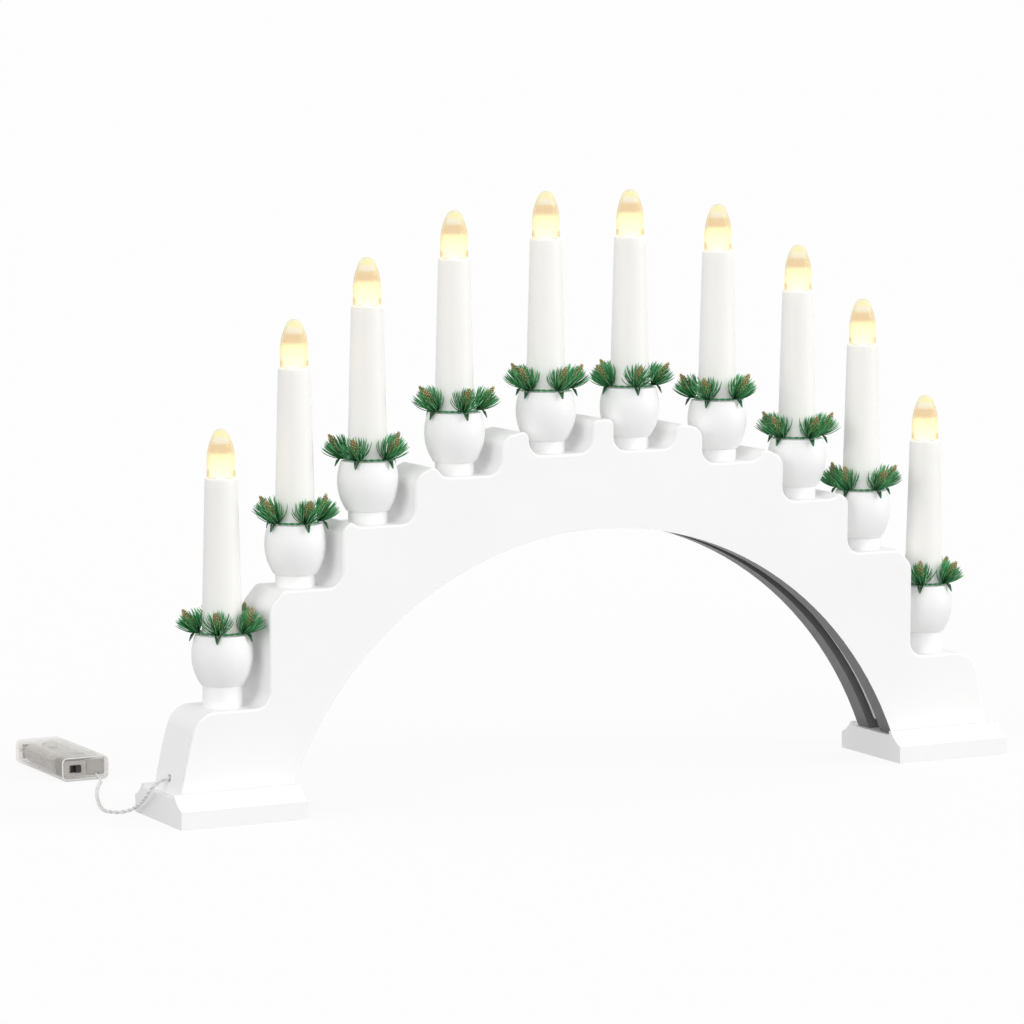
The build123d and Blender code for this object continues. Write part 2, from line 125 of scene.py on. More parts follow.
TAIL_OUT = (3.0 * MM, 5.0 * MM)
TAIL_DROP = 4.2 * MM
TAIL_FOOT_SHARE = 0.2
TAIL_LIGHTS = (0.1, 0.5)

# Wreath: its cones, which stand more upright where the board rises beside them
CONE_RADIUS = 2.3 * MM
CONE_LENGTH = 9.8 * MM
CONE_START = 4.6 * MM
CONE_RAISE = 0.15
CONE_STEPS = 7
CONE_SIDES = 8
CONE_FOOT = 0.16
CONE_SWELL_POWER = 0.75
CONE_LEAST_SHARE = 0.14
# Painted shade on the cones: the dark core between the scales, and each scale's darker foot and belly
CONE_FOOT_LIGHT = 0.6
CONE_CORE_SHARE = 0.82
CONE_CORE_LIGHT = 0.15
CONE_SCALES = 56
CONE_LIGHTS = (0.8, 1.0)
SCALE_WIDTH_SHARE = 0.55
SCALE_WIDEST = 1.05
SCALE_NARROWING = 0.55
SCALE_FOOT_SHARE = 0.62
SCALE_BELLY_SHARE = 1.02
SCALE_BELLY_LIGHT = 0.35
SCALE_RIDGE_LIGHT = 0.65
SCALE_OVERLAP = 0.3
SCALE_SHORTENING = 0.35
SCALE_RISE = 1.5 * MM
SCALE_OUT = 0.22 * MM
SCALE_RIDGE = 0.25 * MM
WALLED_SHARE = 0.6
PRESSED_SHARE = 0.5
PRESSED_LEAN = 0.35

# Lead: the route of its middle line, and the two strands twisted round it
LEAD_ROUTE_MM = (
    (-240.6, 0.0, 21.8),
    (-247.6, -0.6, 21.7),
    (-252.6, -0.8, 18.7),
    (-254.6, 2.4, 14.2),
    (-254.6, 8.6, 10.0),
    (-254.6, 15.4, 6.0),
    (-256.2, 22.0, 2.6),
    (-260.4, 26.4, 1.05),
    (-264.2, 30.6, 1.05),
    (-265.4, 37.2, 1.05),
    (-263.0, 46.8, 1.05),
    (-258.5, 61.1, 1.05),
    (-252.7, 77.1, 1.05),
    (-246.6, 91.9, 1.05),
    (-240.1, 105.4, 1.05),
    (-234.5, 116.0, 1.05),
    (-232.3, 122.9, 1.5),
    (-231.9, 129.6, 2.8),
)
LEAD_DIAMETER = 2.0 * MM
LEAD_PITCH = 7.5 * MM
LEAD_STEPS = 24
LEAD_SIDES = 10

# Bulb: how its shell rises above the sleeve, and the lit filling's distance inside it
BULB_SIDE = 8.0 * MM
BULB_TIP = 4.5 * MM
BULB_STEPS = 8
BULB_SIDES = 32
FILLING_INSET = 1.12 * MM
FILLING_LIFT = 0.4 * MM

# Battery case: its walls, and what shows behind its front
CASE_WALL = 1.2 * MM
CASE_CORNER = 3.0 * MM
# The painted highlight along the front wall's edge: a thin white tube
EDGE_HIGHLIGHT_RADIUS = 0.4 * MM
EDGE_HIGHLIGHT_SIDES = 8
SWITCH_SKIN = 0.05 * MM
BAY_PLATE = 0.8 * MM
BAY_GAP = 0.6 * MM
LOOP_STEPS = 6

# Places on a noise texture between which a colour goes from one shade to the other
MOTTLE_LOW = 0.3
MOTTLE_HIGH = 0.7

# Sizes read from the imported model
sleeve_low, sleeve_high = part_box("candle_tube_1")
SLEEVE_RADIUS = (sleeve_high.x - sleeve_low.x) / 2
RING_RADIUS = SLEEVE_RADIUS + RING_GAP


class Graph:
    """A material's node tree, with short calls to add and join nodes."""

    def __init__(self, name):
        self.material = bpy.data.materials.new(name)
        self.material.use_nodes = True
        self.tree = self.material.node_tree
        self.tree.nodes.clear()
        self.output = self.add("ShaderNodeOutputMaterial")

    def add(self, kind, **values):
        node = self.tree.nodes.new(kind)
        for key, value in values.items():
            setattr(node, key, value)
        return node

    def join(self, source, target):
        self.tree.links.new(source, target)

    def principled(self, **sockets):
        shader = self.add("ShaderNodeBsdfPrincipled")
        for key, value in sockets.items():
            shader.inputs[key.replace("_", " ")].default_value = value
        self.join(shader.outputs[0], self.output.inputs["Surface"])
        return shader

    def coordinate(self, kind="Object"):
        return self.add("ShaderNodeTexCoord").outputs[kind]

    def noise(self, place, scale, detail=3.0, stretch=None):
        if stretch is not None:
            mapping = self.add("ShaderNodeMapping")
            mapping.inputs["Scale"].default_value = stretch
            self.join(place, mapping.inputs["Vector"])
            place = mapping.outputs[0]
        texture = self.add("ShaderNodeTexNoise")
        texture.inputs["Scale"].default_value = scale
        texture.inputs["Detail"].default_value = detail
        self.join(place, texture.inputs["Vector"])
        return texture.outputs["Fac"]

    def ramp(self, factor, *stops):
        """A colour ramp through stops of a place and a colour or grey."""
        node = self.add("ShaderNodeValToRGB")
        while len(node.color_ramp.elements) < len(stops):
            node.color_ramp.elements.new(1.0)
        for element, (place, colour) in zip(node.color_ramp.elements, stops):
            element.position = place
            element.color = (*colour, 1.0) if isinstance(colour, tuple) else (colour, colour, colour, 1.0)
        self.join(factor, node.inputs["Fac"])
        return node.outputs["Color"]

    def mottle(self, shader, texture, low, high, socket="Base Color"):
        """Lets a texture drive a socket between two colours or greys."""
        colour = self.ramp(texture, (MOTTLE_LOW, low), (MOTTLE_HIGH, high))
        self.join(colour, shader.inputs[socket])

    def bump(self, shader, height, strength, distance):
        node = self.add("ShaderNodeBump")
        node.inputs["Strength"].default_value = strength
        node.inputs["Distance"].default_value = distance
        self.join(height, node.inputs["Height"])
        self.join(node.outputs[0], shader.inputs["Normal"])

    def part_of(self, vector, axis):
        node = self.add("ShaderNodeSeparateXYZ")
        self.join(vector, node.inputs[0])
        return node.outputs[axis]


def under_arch(graph, place):
    """One on the underside of the arch and in its groove, between the board's two faces, where the board's
    paint gets its painted shade.
    """
    aside = graph.add("ShaderNodeMapping")
    aside.inputs["Location"].default_value = (0.0, 0.0, ARCH_DROP)
    aside.inputs["Scale"].default_value = (1.0, 0.0, 1.0)
    graph.join(place, aside.inputs["Vector"])
    reach = graph.add("ShaderNodeVectorMath", operation="LENGTH")
    graph.join(aside.outputs[0], reach.inputs[0])
    near = graph.add("ShaderNodeMath", operation="LESS_THAN")
    near.inputs[1].default_value = UNDERSIDE_REACH
    graph.join(reach.outputs["Value"], near.inputs[0])
    depth = graph.add("ShaderNodeMath", operation="ABSOLUTE")
    graph.join(graph.part_of(place, "Y"), depth.inputs[0])
    within = graph.add("ShaderNodeMath", operation="LESS_THAN")
    within.inputs[1].default_value = UNDERSIDE_HALF
    graph.join(depth.outputs[0], within.inputs[0])
    both = graph.add("ShaderNodeMath", operation="MULTIPLY")
    graph.join(near.outputs[0], both.inputs[0])
    graph.join(within.outputs[0], both.inputs[1])
    return both.outputs[0]


def painted_wood(name, grain, painted_shade_under=False):
    """Satin white paint over smooth wood, whose grain is stretched along one axis. The arch's underside
    can be painted dark grey as painted shade."""
    graph = Graph(name)
    shader = graph.principled(Roughness=0.42, Specular_IOR_Level=0.35)
    place = graph.coordinate()
    cloud = graph.noise(place, 14.0)
    paint = ((0.852, 0.851, 0.849), (0.872, 0.871, 0.869))
    if painted_shade_under:
        mix = graph.add("ShaderNodeMix", data_type="RGBA")
        graph.join(under_arch(graph, place), mix.inputs["Factor"])
        graph.mottle(mix, cloud, *paint, socket="A")
        # Painted shade: the underside and its groove take dark grey in place of the white paint
        graph.mottle(mix, cloud, 0.12, 0.16, socket="B")
        graph.join(mix.outputs["Result"], shader.inputs["Base Color"])
    else:
        graph.mottle(shader, cloud, *paint)
    fine = graph.noise(place, 260.0, 4.0, stretch=grain)
    graph.join(graph.ramp(fine, (0.25, 0.38), (0.75, 0.5)), shader.inputs["Roughness"])
    graph.bump(shader, fine, 0.12, 0.15 * MM)
    return graph.material


def sleeve_plastic():
    """Off-white moulded sleeve, faintly warm where the bulb lights its upper end from inside."""
    graph = Graph("sleeve_plastic")
    shader = graph.principled(Roughness=0.4, Specular_IOR_Level=0.4)
    shader.inputs["Subsurface Weight"].default_value = 0.15
    shader.inputs["Subsurface Radius"].default_value = (2 * MM, 1.4 * MM, 0.9 * MM)
    place = graph.coordinate()
    cloud = graph.noise(place, 60.0, 3.0, stretch=(1.0, 1.0, 0.15))
    graph.mottle(shader, cloud, (0.855, 0.845, 0.822), (0.88, 0.87, 0.848))
    height = graph.part_of(graph.coordinate("Generated"), "Z")
    glow = graph.ramp(height, (0.9, 0.0), (0.98, (0.02, 0.015, 0.006)), (1.0, (0.14, 0.13, 0.11)))
    graph.join(glow, shader.inputs["Emission Color"])
    shader.inputs["Emission Strength"].default_value = 1.0
    graph.bump(shader, graph.noise(place, 500.0), 0.05, 0.1 * MM)
    return graph.material


def bulb_shell():
    """Clear plastic that the light inside tints, deeper in colour where it is seen along."""
    graph = Graph("bulb_shell")
    shader = graph.principled(Roughness=0.06, Specular_IOR_Level=0.5)
    height = graph.part_of(graph.coordinate("Generated"), "Z")
    tint = graph.ramp(
        height,
        (0.175, (0.95, 0.9, 0.72)),
        (0.21, (0.78, 0.58, 0.2)),
        (0.275, (0.8, 0.62, 0.22)),
        (0.315, (0.97, 0.92, 0.58)),
        (0.53, (0.95, 0.87, 0.45)),
        (0.62, (0.88, 0.68, 0.34)),
        (0.77, (0.87, 0.7, 0.3)),
        (0.9, (0.92, 0.84, 0.42)),
        (1.0, (0.85, 0.8, 0.45)),
    )
    graph.join(tint, shader.inputs["Base Color"])
    weight = graph.add("ShaderNodeLayerWeight")
    weight.inputs["Blend"].default_value = 0.5
    see = graph.ramp(weight.outputs["Facing"], (0.0, 0.04), (0.35, 0.1), (0.7, 0.65), (1.0, 0.95))
    graph.join(see, shader.inputs["Alpha"])
    ripple = graph.noise(graph.coordinate(), 320.0, 2.0, stretch=(1.0, 1.0, 2.0))
    graph.bump(shader, ripple, 0.1, 0.2 * MM)
    return graph.material


def bulb_glow():
    """The lit filling of a bulb: pale yellow below, peach above it, then a whitish band painted in as a
    highlight, and a yellow tip.
    """
    graph = Graph("bulb_glow")
    shader = graph.principled(Roughness=0.5, Specular_IOR_Level=0.1, Base_Color=(0.03, 0.025, 0.015, 1.0))
    height = graph.part_of(graph.coordinate("Generated"), "Z")
    colour = graph.ramp(
        height,
        (0.0, (1.3, 1.2, 0.95)),
        (0.1, (1.5, 1.35, 0.86)),
        (0.2, (1.9, 1.65, 0.76)),
        (0.38, (1.8, 1.45, 0.66)),
        (0.5, (1.1, 0.92, 0.54)),
        (0.56, (0.84, 0.63, 0.38)),
        (0.7, (0.82, 0.62, 0.37)),
        # Painted highlight: this whitish band stands for the highlight seen near the bulb's top
        (0.77, (0.9, 0.82, 0.66)),
        (0.84, (0.92, 0.87, 0.72)),
        (0.92, (0.94, 0.88, 0.5)),
        (1.0, (0.94, 0.88, 0.48)),
    )
    graph.join(colour, shader.inputs["Emission Color"])
    shader.inputs["Emission Strength"].default_value = 1.0
    return graph.material


def led_lens():
    graph = Graph("led_lens")
    shader = graph.principled(Roughness=0.1, Base_Color=(0.9, 0.85, 0.7, 1.0))
    height = graph.part_of(graph.coordinate(), "Z")
    shine = graph.ramp(height, (0.0, (1.0, 0.86, 0.55)), (1.0, (1.0, 0.9, 0.66)))
    graph.join(shine, shader.inputs["Emission Color"])
    shader.inputs["Emission Strength"].default_value = 1.0
    return graph.material


def needle_green():
    """Glossy green plastic strips, uneven from strip to strip, with painted shade that darkens them towards
    the root.
    """
    graph = Graph("needle_green")
    shader = graph.principled(Roughness=0.32, Specular_IOR_Level=0.5)
    info = graph.add("ShaderNodeAttribute", attribute_name="shade")
    colour = graph.ramp(
        info.outputs["Fac"],
        (0.0, (0.006, 0.06, 0.018)),
        (0.3, (0.025, 0.2, 0.055)),
        (0.65, (0.075, 0.38, 0.13)),
        (1.0, (0.2, 0.58, 0.26)),
    )
    graph.join(colour, shader.inputs["Base Color"])
    streak = graph.noise(graph.coordinate(), 900.0, 2.0)
    graph.mottle(shader, streak, 0.26, 0.42, socket="Roughness")
    return graph.material


def mottled_plastic(name, scale, low, high, **sockets):
    """Plain plastic whose colour wanders a little between two shades."""
    graph = Graph(name)
    shader = graph.principled(**sockets)
    graph.mottle(shader, graph.noise(graph.coordinate(), scale), low, high)
    return graph.material


def ring_green():
    return mottled_plastic("ring_green", 300.0, (0.025, 0.19, 0.07), (0.06, 0.3, 0.12), Roughness=0.4)


def cone_brown():
    """Bronzed cone scales with pale gilded tips, and painted shade: each scale darker at its foot under the
    one above, and a dark core between the scales.
    """
    graph = Graph("cone_brown")
    shader = graph.principled(Roughness=0.45, Specular_IOR_Level=0.45)
    info = graph.add("ShaderNodeAttribute", attribute_name="shade")
    colour = graph.ramp(
        info.outputs["Fac"],
        (0.0, (0.14, 0.1, 0.035)),
        (0.3, (0.34, 0.26, 0.1)),
        (0.65, (0.62, 0.53, 0.27)),
        (1.0, (0.82, 0.75, 0.52)),
    )
    graph.join(colour, shader.inputs["Base Color"])
    graph.bump(shader, graph.noise(graph.coordinate(), 1500.0), 0.3, 0.1 * MM)
    return graph.material


def clear_plastic():
    """Clear moulded plastic: see-through, greyer where its walls are seen along."""
    graph = Graph("clear_plastic")
    shader = graph.principled(Roughness=0.1, Specular_IOR_Level=0.5)
    place = graph.coordinate()
    weight = graph.add("ShaderNodeLayerWeight")
    weight.inputs["Blend"].default_value = 0.35
    along = weight.outputs["Facing"]
    tone = graph.ramp(
        along,
        (0.0, (0.7, 0.675, 0.64)),
        (0.8, (0.66, 0.63, 0.585)),
        (0.96, (0.4, 0.385, 0.37)),
    )
    graph.join(tone, shader.inputs["Base Color"])
    graph.mottle(shader, graph.noise(place, 90.0), 0.07, 0.16, socket="Roughness")
    see = graph.ramp(along, (0.0, 0.16), (0.42, 0.2), (0.76, 0.5), (0.95, 0.9))
    graph.join(see, shader.inputs["Alpha"])
    graph.bump(shader, graph.noise(place, 180.0), 0.08, 0.2 * MM)
    return graph.material


def lead_plastic():
    finish = {"Roughness": 0.28, "Specular_IOR_Level": 0.5}
    return mottled_plastic("lead_plastic", 240.0, (0.66, 0.655, 0.65), (0.78, 0.775, 0.77), **finish)


def switch_black():
    graph = Graph("switch_black")
    shader = graph.principled(Roughness=0.45)
    fine = graph.noise(graph.coordinate(), 2500.0)
    graph.mottle(shader, fine, (0.012, 0.012, 0.012), (0.028, 0.027, 0.026))
    graph.bump(shader, fine, 0.2, 0.05 * MM)
    return graph.material


def switch_metal():
    """Switch body: a pale front plate, a dark metal can behind it and a black track for the knob."""
    graph = Graph("switch_metal")
    shader = graph.principled(Roughness=0.4)
    place = graph.coordinate()
    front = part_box("switch_body")[0].y
    plate = graph.add("ShaderNodeMath", operation="LESS_THAN")
    plate.inputs[1].default_value = front + SWITCH_SKIN
    graph.join(graph.part_of(place, "Y"), plate.inputs[0])
    fine = graph.noise(place, 800.0)
    mix = graph.add("ShaderNodeMix", data_type="RGBA")
    graph.join(plate.outputs[0], mix.inputs["Factor"])
    graph.mottle(mix, fine, (0.03, 0.03, 0.03), (0.05, 0.05, 0.048), socket="A")
    graph.mottle(mix, fine, (0.46, 0.44, 0.42), (0.54, 0.52, 0.5), socket="B")
    graph.join(mix.outputs["Result"], shader.inputs["Base Color"])
    graph.bump(shader, fine, 0.15, 0.05 * MM)
    return graph.material


# White plastic look for the painted highlight along the case's front edge
def edge_highlight_white():
    finish = {"Roughness": 0.2, "Specular_IOR_Level": 0.5}
    return mottled_plastic("edge_highlight_white", 300.0, (0.84, 0.83, 0.81), (0.92, 0.91, 0.9), **finish)


def bay_board():
    return mottled_plastic("bay_board", 700.0, (0.36, 0.345, 0.33), (0.44, 0.425, 0.41), Roughness=0.5)


def plated_steel(name, grey):
    graph = Graph(name)
    shader = graph.principled(Roughness=0.28, Metallic=1.0)
    brushed = graph.noise(graph.coordinate(), 1200.0, 3.0, stretch=(1.0, 0.1, 1.0))
    low = (grey * 0.86, grey * 0.86, grey * 0.85)
    graph.mottle(shader, brushed, low, (grey, grey, grey * 0.98))
    graph.join(graph.ramp(brushed, (0.2, 0.22), (0.8, 0.38)), shader.inputs["Roughness"])
    return graph.material


def cell_wrap():
    finish = {"Roughness": 0.3, "Specular_IOR_Level": 0.5}
    return mottled_plastic("cell_wrap", 120.0, (0.46, 0.44, 0.415), (0.54, 0.52, 0.495), **finish)


def dress(name, material):
    """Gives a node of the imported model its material."""
    slots = nodes[name].data.materials
    slots.clear()
    slots.append(material)


def new_piece(name, mesh, materials, body, smooth=True):
    for material in materials:
        mesh.materials.append(material)
    if smooth:
        mesh.shade_smooth()
    piece = bpy.data.objects.new(name, mesh)
    bpy.context.scene.collection.objects.link(piece)
    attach(piece, body)
    return piece


def mesh_of(name, shell):
    mesh = bpy.data.meshes.new(name)
    shell.to_mesh(mesh)
    shell.free()
    return mesh


def skin(shell, rings, looped=False):
    """Faces from each ring of points to the next, and from the last to the first in a loop."""
    pairs = list(zip(rings, rings[1:]))
    if looped:
        pairs.append((rings[-1], rings[0]))
    for low, high in pairs:
        for step in range(len(low)):
            after = (step + 1) % len(low)
            shell.faces.new((low[step], low[after], high[after], high[step]))


def cap(shell, rings):
    """Faces that close the first and the last ring."""
    shell.faces.new(tuple(reversed(rings[0])))
    shell.faces.new(tuple(rings[-1]))


def turned_solid(shell, profile, turn, sides):
    """A closed form with a profile of radius and height, placed by a matrix. Returns its rings of points."""
    rings = []
    for radius, height in profile:
        ring = []
        for step in range(sides):
            angle = 2 * math.pi * step / sides
            place = Vector((radius * math.cos(angle), radius * math.sin(angle), height))
            ring.append(shell.verts.new(turn @ place))
        rings.append(ring)
    skin(shell, rings)
    cap(shell, rings)
    return rings


def carried_frames(path, looped=False):
    """Two directions across a path at each of its points, turning as little as they can along it."""
    count = len(path)
    frames = []
    before = None
    across = None
    for index in range(count):
        if looped:
            along = (path[(index + 1) % count] - path[index - 1]).normalized()
        else:
            along = (path[min(index + 1, count - 1)] - path[max(index - 1, 0)]).normalized()
        if across is None:
            across = along.orthogonal().normalized()
        else:
            across = (before.rotation_difference(along) @ across).normalized()
        frames.append((across, along.cross(across)))
        before = along
    return frames


def swept_tube(shell, path, radius, sides, looped=False):
    """A round tube along points, with flat ends or joined in a loop."""
    rings = []
    for point, (across, up) in zip(path, carried_frames(path, looped)):
        ring = []
        for step in range(sides):
            angle = 2 * math.pi * step / sides
            ring.append(shell.verts.new(point + (across * math.cos(angle) + up * math.sin(angle)) * radius))
        rings.append(ring)
    skin(shell, rings, looped)
    if not looped:
        cap(shell, rings)


def golden_turn(number):
    """An angle that spreads numbered things evenly round an axis."""
    return number * math.pi * (3 - math.sqrt(5))


def in_the_way(point, middle):
    """Whether a point lies in the board beside the candle or in the candle's sleeve."""
    board_top = math.sqrt(BOARD_RADIUS**2 - point.x**2) - BOARD_DROP
    margin = NEEDLE_CLEARANCE
    beside = abs(point.x - middle.x) > NOTCH_HALF - margin
    in_board = beside and abs(point.y) < BOARD_HALF + margin and point.z < board_top + margin
    in_sleeve = math.hypot(point.x - middle.x, point.y - middle.y) < SLEEVE_RADIUS + margin
    return in_board or in_sleeve


def curved_needle(root, axis, sideways, opening, length):
    """Points along a needle that sets out sideways and closes in along the sprig's axis."""
    points = [root]
    for step in range(NEEDLE_STEPS):
        share = (step + 0.5) / NEEDLE_STEPS
        angle = math.radians(opening * (1 + (OPEN_CLOSING - 1) * share))
        heading = axis * math.cos(angle) + sideways * math.sin(angle)
        points.append(points[-1] + heading * (length / NEEDLE_STEPS))
    return points


def add_needle(shell, shade, points, light):
    """A thin strip along the points, finer at the tip. Shade holds how light each point is."""
    last = len(points) - 1
    along = (points[-1] - points[0]).normalized()
    across = along.orthogonal().normalized()
    up = along.cross(across)
    rings = []
    for index, point in enumerate(points):
        width = NEEDLE_TIP_SHARE if index == last else 1.0
        ring = []
        for step in range(NEEDLE_SIDES):
            angle = 2 * math.pi * step / NEEDLE_SIDES
            offset = (across * math.cos(angle) + up * math.sin(angle)) * NEEDLE_HALF * width
            vertex = shell.verts.new(point + offset)
            # Painted shade: the strip darkens towards its root, where the needles crowd
            vertex[shade] = light * (NEEDLE_ROOT_LIGHT + (1 - NEEDLE_ROOT_LIGHT) * index / last)
            ring.append(vertex)
        rings.append(ring)
    skin(shell, rings)
    cap(shell, rings)


def add_sprig(shell, shade, start, outward, middle, draw):
    """A stem, its bowl of needles and the gathered tail below them, from a point on the ring."""
    lean = math.radians(SPRIG_LEAN + draw.uniform(-SPRIG_LEAN_PLAY, SPRIG_LEAN_PLAY))
    axis = outward * math.cos(lean) + Vector((0, 0, 1)) * math.sin(lean)
    side = axis.orthogonal().normalized()
    other = axis.cross(side)
    turn = Matrix.Translation(start) @ axis.to_track_quat("Z", "Y").to_matrix().to_4x4()
    for ring in turned_solid(shell, ((STEM_RADIUS, 0), (STEM_RADIUS, STEM_LENGTH)), turn, STEM_SIDES):
        for vertex in ring:
            vertex[shade] = STEM_LIGHT
    for number in range(NEEDLES):
        share = (number + 0.5) / NEEDLES
        around = golden_turn(number) + draw.uniform(-NEEDLE_TURN_PLAY, NEEDLE_TURN_PLAY)
        sideways = side * math.cos(around) + other * math.sin(around)
        opening = OPEN_LEAST + (OPEN_MOST - OPEN_LEAST) * share**OPEN_POWER
        opening += draw.uniform(-OPEN_PLAY, OPEN_PLAY)
        opening *= 1 + DROOP_SHARE * min(0.0, sideways.z)
        root = start + axis * (STEM_LENGTH * (1 - share)) + sideways * STEM_RADIUS * NEEDLE_ROOT_SHARE
        length = (NEEDLE_LENGTH - STEM_LENGTH * (1 - share)) * draw.uniform(*NEEDLE_LENGTHS)
        light = draw.uniform(*NEEDLE_LIGHTS)
        for _ in range(NEEDLE_TRIES):
            points = curved_needle(root, axis, sideways, opening, length)
            if not any(in_the_way(point, middle) for point in points[1:]):
                add_needle(shell, shade, points, light)
                break
            opening *= TRY_OPENING
            length *= TRY_LENGTH
    top = start + outward * TAIL_OUT[0]
    foot = start + outward * TAIL_OUT[1] - Vector((0, 0, TAIL_DROP))
    for number in range(TAIL_STRIPS):
        around = 2 * math.pi * number / TAIL_STRIPS
        sideways = side * math.cos(around) + other * math.sin(around)
        points = []
        for share in (1.0, 0.5, 0.0):
            spread = TAIL_RADIUS * (TAIL_FOOT_SHARE + (1 - TAIL_FOOT_SHARE) * share)
            points.append(foot.lerp(top, share) + sideways * spread)
        add_needle(shell, shade, points, draw.uniform(*TAIL_LIGHTS))
    return axis


def add_cone(shell, shade, start, axis, draw):
    """A small cone of overlapping scales about a core. Its shade values paint shade on the core and on each
    scale's foot under the scale above; the scales also get darker towards the cone's foot.
    """
    turn = Matrix.Translation(start) @ axis.to_track_quat("Z", "Y").to_matrix().to_4x4()

    def radius_at(share):
        along = min(1.0, CONE_FOOT + (1 - CONE_FOOT) * share)
        swell = math.sin(math.pi * along**CONE_SWELL_POWER)
        return CONE_RADIUS * (CONE_LEAST_SHARE + (1 - CONE_LEAST_SHARE) * swell)

    profile = []
    for step in range(CONE_STEPS + 1):
        share = step / CONE_STEPS
        profile.append((radius_at(share) * CONE_CORE_SHARE, CONE_LENGTH * step / CONE_STEPS))
    for ring in turned_solid(shell, profile, turn, CONE_SIDES):
        for vertex in ring:
            vertex[shade] = CONE_CORE_LIGHT
    for number in range(CONE_SCALES):
        share = (number + 0.5) / CONE_SCALES
        around = golden_turn(number)
        reach = radius_at(share)
        half = SCALE_WIDTH_SHARE * CONE_RADIUS * (SCALE_WIDEST - SCALE_NARROWING * share)
        rise = SCALE_RISE * (1 - SCALE_SHORTENING * share)
        out = Vector((math.cos(around), math.sin(around), 0))
        across = Vector((-math.sin(around), math.cos(around), 0))
        height = CONE_LENGTH * share
        foot = out * reach * SCALE_FOOT_SHARE + Vector((0, 0, height - SCALE_OVERLAP * rise))
        belly = out * reach * SCALE_BELLY_SHARE + Vector((0, 0, height + SCALE_OVERLAP * rise))
        tip = out * (reach + SCALE_OUT) + Vector((0, 0, height + rise))
        # Painted shade: each scale goes from dark at its foot to light at its tip
        light = draw.uniform(*CONE_LIGHTS) * (CONE_FOOT_LIGHT + (1 - CONE_FOOT_LIGHT) * share)
        right = (belly + across * half, SCALE_BELLY_LIGHT)
        left = (belly - across * half, SCALE_BELLY_LIGHT)
        spots = ((foot, 0.0), right, (tip, 1.0), left)
        corners = []
        for spot, level in spots:
            vertex = shell.verts.new(turn @ spot)
            vertex[shade] = level * light
            corners.append(vertex)
        ridge = shell.verts.new(turn @ (belly * 0.5 + tip * 0.5 + out * SCALE_RIDGE))
        ridge[shade] = SCALE_RIDGE_LIGHT * light
        for low, high in zip(corners, corners[1:] + corners[:1]):
            shell.faces.new((low, high, ridge))


def make_wreath(number, greens, wire, browns):
    """The wreath's needles, its ring of two twisted wires and its cones, on one body."""
    draw = random.Random(WREATH_SEED + number)
    body = f"wreath_{number}"
    cup_low, cup_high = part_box(f"candle_cup_{number}")
    middle = Vector(((cup_low.x + cup_high.x) / 2, 0.0, cup_high.z))
    middle.z += RING_LIFT
    walled = abs(middle.x) > WALLED_SHARE * BOARD_RADIUS
    wall_side = -math.copysign(1, middle.x)
    shell = bmesh.new()
    shade = shell.verts.layers.float.new("shade")
    cones = bmesh.new()
    cone_shade = cones.verts.layers.float.new("shade")
    for sprig in range(SPRIGS):
        angle = math.radians(WREATH_TURNS[number - 1] + 360 * sprig / SPRIGS)
        outward = Vector((math.cos(angle), math.sin(angle), 0))
        start = middle + outward * RING_RADIUS
        axis = add_sprig(shell, shade, start, outward, middle, draw)
        lift = (axis + Vector((0, 0, CONE_RAISE))).normalized()
        if walled and outward.x * wall_side > PRESSED_SHARE:
            lift = (axis * PRESSED_LEAN + Vector((0, 0, 1))).normalized()
        add_cone(cones, cone_shade, start + axis * CONE_START, lift, draw)
    needles = new_piece(f"{body}_needles", mesh_of("needles", shell), [greens], body)
    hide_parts(body)
    new_piece(f"{body}_cones", mesh_of("cones", cones), [browns], body, smooth=False)
    ring = bmesh.new()
    for strand in range(2):
        path = []
        for step in range(RING_STEPS):
            angle = 2 * math.pi * step / RING_STEPS
            twist = RING_TWISTS * angle + math.pi * strand
            reach = RING_RADIUS + RING_WIRE * math.cos(twist)
            height = RING_WIRE * math.sin(twist)
            path.append(middle + Vector((reach * math.cos(angle), reach * math.sin(angle), height)))
        swept_tube(ring, path, RING_WIRE, RING_SIDES, looped=True)
    new_piece(f"{body}_ring", mesh_of("ring", ring), [wire], body)


def make_bulb_filling(number, glow):
    """The lit inside of a bulb, shaped as its shell is and just inside it."""
    low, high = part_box(f"flame_bulb_{number}")
    tube_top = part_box(f"candle_tube_{number}")[1].z
    middle = Vector(((low.x + high.x) / 2, 0.0, tube_top))
    radius = (high.x - low.x) / 2
    rise = high.z - tube_top - BULB_SIDE - BULB_TIP
    room = radius - BULB_TIP
    flank_middle = -(rise**2 - room**2) / (2 * room)
    slope = math.atan2(rise, -flank_middle)
    side = radius - FILLING_INSET
    tip = BULB_TIP - FILLING_INSET
    profile = [(side, FILLING_LIFT)]
    for step in range(BULB_STEPS + 1):
        angle = slope * step / BULB_STEPS
        reach = side - flank_middle
        profile.append((flank_middle + reach * math.cos(angle), BULB_SIDE + reach * math.sin(angle)))
    for step in range(1, BULB_STEPS):
        angle = slope + (math.pi / 2 - slope) * step / BULB_STEPS
        profile.append((tip * math.cos(angle), BULB_SIDE + rise + tip * math.sin(angle)))
    shell = bmesh.new()
    turned_solid(shell, profile, Matrix.Translation(middle), BULB_SIDES)
    new_piece(f"flame_bulb_{number}_filling", mesh_of("filling", shell), [glow], "root")


def rounded_loop(middle, half_x, half_z, corner):
    """Points round an upright rectangle with rounded corners, about its middle."""
    points = []
    for quarter in range(4):
        turn = math.pi / 2 * quarter
        out_x = 1 if quarter in (0, 3) else -1
        out_z = 1 if quarter in (0, 1) else -1
        for step in range(LOOP_STEPS + 1):
            angle = turn + math.pi / 2 * step / LOOP_STEPS
            x = out_x * (half_x - corner) + corner * math.cos(angle)
            z = out_z * (half_z - corner) + corner * math.sin(angle)
            points.append(middle + Vector((x, 0, z)))
    return points


